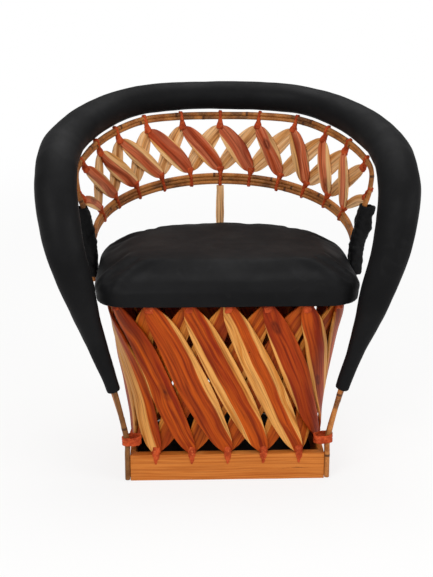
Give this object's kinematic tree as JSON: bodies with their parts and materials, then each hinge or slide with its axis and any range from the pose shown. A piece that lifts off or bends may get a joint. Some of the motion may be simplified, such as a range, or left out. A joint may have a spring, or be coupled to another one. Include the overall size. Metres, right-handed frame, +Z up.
{
  "type": "barrel chair",
  "caption": "Low barrel armchair: crossing split-wood slats tied to a D-shaped base, padded black leather seat, and a padded arch for arms and back with a slatted lattice.",
  "frame": {"origin": "on the floor, under the middle of the chair's bounding box", "axes": "+Z up, the sitter faces -Y, +X on the viewer's right as seen from the front"},
  "size_m": [0.7788, 0.571, 0.7751],
  "materials": {
    "leather": "worn matte black",
    "heartwood": "split cedar heartwood, satin",
    "sapwood": "split cedar sapwood, satin",
    "pine": "oiled pine, satin",
    "cane": "peeled cane, satin",
    "rawhide": "dried rawhide, semi matte"
  },
  "bodies": {
    "root": {"base_front_board": "pine", "base_hoop": "pine", "barrel_outer_slat_01": "heartwood", "barrel_outer_slat_02": "heartwood", "barrel_outer_slat_03": "heartwood", "barrel_outer_slat_04": "heartwood", "barrel_outer_slat_05": "heartwood", "barrel_outer_slat_06": "heartwood", "barrel_outer_slat_07": "heartwood", "barrel_outer_slat_08": "heartwood", "barrel_outer_slat_09": "heartwood", "barrel_outer_slat_10": "heartwood", "barrel_outer_slat_11": "heartwood", "barrel_outer_slat_12": "heartwood", "barrel_outer_slat_13": "heartwood", "barrel_outer_slat_14": "heartwood", "barrel_outer_slat_15": "heartwood", "barrel_outer_slat_16": "heartwood", "barrel_outer_slat_17": "heartwood", "barrel_outer_slat_18": "heartwood", "barrel_inner_slat_01": "sapwood", "barrel_inner_slat_02": "sapwood", "barrel_inner_slat_03": "sapwood", "barrel_inner_slat_04": "sapwood", "barrel_inner_slat_05": "sapwood", "barrel_inner_slat_06": "sapwood", "barrel_inner_slat_07": "sapwood", "barrel_inner_slat_08": "sapwood", "barrel_inner_slat_09": "sapwood", "barrel_inner_slat_10": "sapwood", "barrel_inner_slat_11": "sapwood", "barrel_inner_slat_12": "sapwood", "barrel_inner_slat_13": "sapwood", "barrel_inner_slat_14": "sapwood", "barrel_inner_slat_15": "sapwood", "barrel_inner_slat_16": "sapwood", "barrel_inner_slat_17": "sapwood", "barrel_inner_slat_18": "sapwood", "seat_ring": "rawhide", "seat_hide": "rawhide", "seat_cushion": "leather", "arm_arch_canes": "cane", "arm_back_roll": "leather", "back_upper_hoop": "sapwood", "back_lower_hoop": "cane", "back_front_slat_01": "heartwood", "back_front_slat_02": "heartwood", "back_front_slat_03": "heartwood", "back_front_slat_04": "heartwood", "back_front_slat_05": "heartwood", "back_front_slat_06": "heartwood", "back_front_slat_07": "heartwood", "back_front_slat_08": "heartwood", "back_front_slat_09": "heartwood", "back_front_slat_10": "heartwood", "back_front_slat_11": "heartwood", "back_prop": "sapwood", "end_wrap_left": "leather", "end_wrap_right": "leather"}
  },
  "joints": []
}
